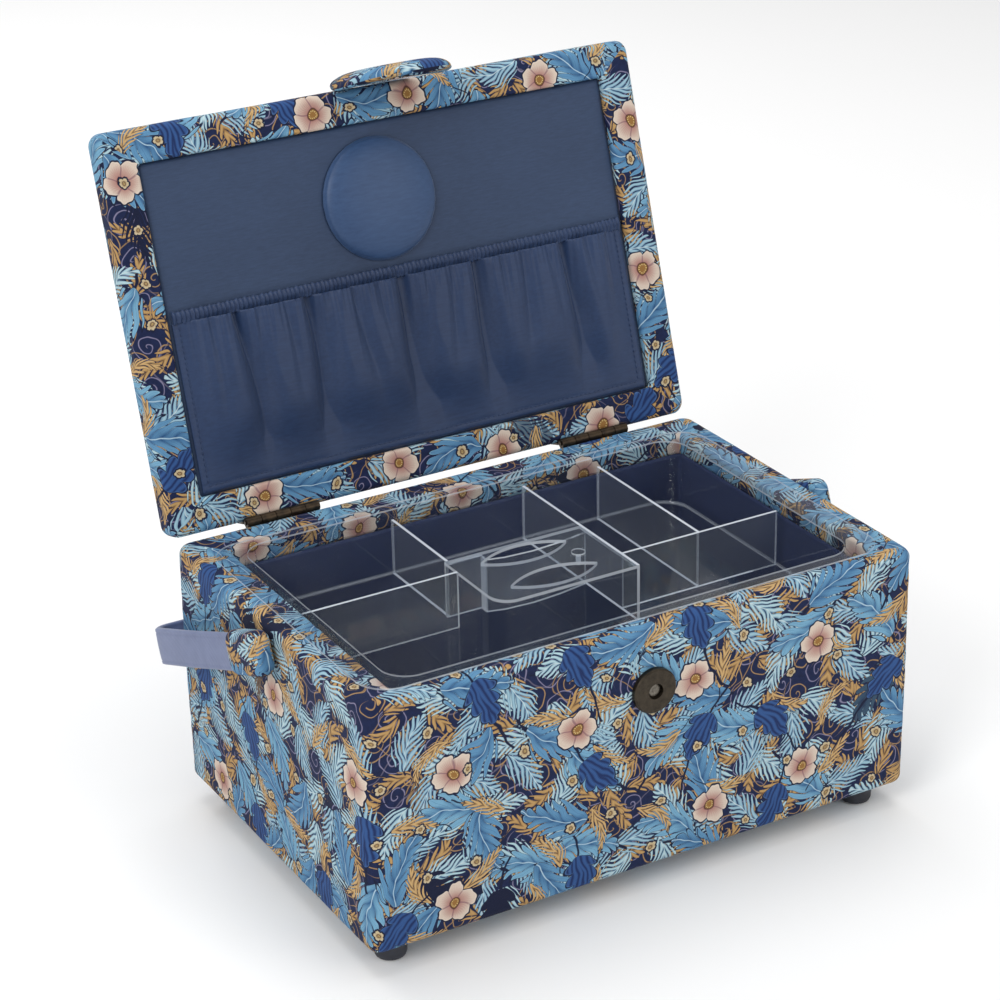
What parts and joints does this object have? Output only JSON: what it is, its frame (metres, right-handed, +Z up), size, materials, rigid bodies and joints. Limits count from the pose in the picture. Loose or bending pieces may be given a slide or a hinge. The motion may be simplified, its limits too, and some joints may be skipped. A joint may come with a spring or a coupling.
{
  "type": "sewing box with tray",
  "caption": "Fabric-covered sewing box with a padded hinged lid, pincushion and gathered pocket in the lid, a clear lift-out divided tray, a magnetic closure tab and a carry handle.",
  "frame": {"origin": "centre of the box body's footprint, on the plane that its four feet stand on", "axes": "+X right as the opening side is faced, +Y to the hinges at the back, +Z up"},
  "size_m": [0.2836, 0.2402, 0.3091],
  "materials": {
    "print": null,
    "lining": "matt woven lining",
    "satin": "smooth satin weave, slate blue",
    "wadding": "soft polyester wadding",
    "board": "plain board, hidden under the covering",
    "card": "stiff card",
    "clear_plastic": "clear injection moulded plastic, polished",
    "foot_rubber": "near-black moulded foot",
    "steel": "plain steel",
    "dark_bronze": "dark antique bronze plating",
    "strap": "moulded strap, pale periwinkle blue, satin"
  },
  "bodies": {
    "box": {"bottom_board": "board", "front_wall_board": "board", "back_wall_board": "board", "left_wall_board": "board", "right_wall_board": "board", "box_wadding": "wadding", "box_cover": "print", "box_wall_lining": "lining", "box_floor_lining": "lining", "feet": "foot_rubber", "foot_pins": "steel", "snap_socket": "dark_bronze", "snap_backing_plate": "steel", "hinge_leaves_box": "dark_bronze", "hinge_pins": "dark_bronze", "hinge_screws_box": "dark_bronze", "handle_pivot_pins": "steel", "handle_washers": "steel"},
    "lid": {"lid_board": "board", "lid_frame_front": "board", "lid_frame_back": "board", "lid_frame_left": "board", "lid_frame_right": "board", "lid_wadding": "wadding", "lid_cover": "print", "lid_lining_panel": "satin", "pincushion": "satin", "pincushion_base": "card", "pocket": "satin", "pocket_elastic": "satin", "hinge_leaves_lid": "dark_bronze", "hinge_screws_lid": "dark_bronze"},
    "closure_tab": {"closure_tab": "print", "tab_stiffener": "card", "snap_stud": "dark_bronze"},
    "tray": {"tray_shell": "clear_plastic", "tray_divider_left_long": "clear_plastic", "tray_divider_left_cross": "clear_plastic", "tray_divider_centre_long": "clear_plastic", "tray_divider_right_long": "clear_plastic", "tray_divider_right_cross": "clear_plastic", "tray_grip_wall": "clear_plastic", "tray_grip": "clear_plastic"},
    "handle": {"handle_strap": "strap", "handle_end_left": "print", "handle_end_right": "print"}
  },
  "joints": [
    {"name": "lid_hinge", "type": "hinge", "parent": "box", "child": "lid", "pos_m": [0, 0.0863, 0.1236], "axis": [1, 0, 0], "range_deg": [0, 107.2]},
    {"name": "tab_flap", "type": "hinge", "parent": "lid", "child": "closure_tab", "pos_m": [0, 0.14328, 0.29041], "axis": [-1, 0, 0], "range_deg": [-1.8, 80]},
    {"name": "tray_lift", "type": "slide", "parent": "box", "child": "tray", "axis": [0, 0, 1], "range_m": [0, 0.08]},
    {"name": "handle_swing", "type": "hinge", "parent": "box", "child": "handle", "pos_m": [0, 0, 0.1105], "axis": [1, 0, 0], "range_deg": [0, 12]}
  ]
}
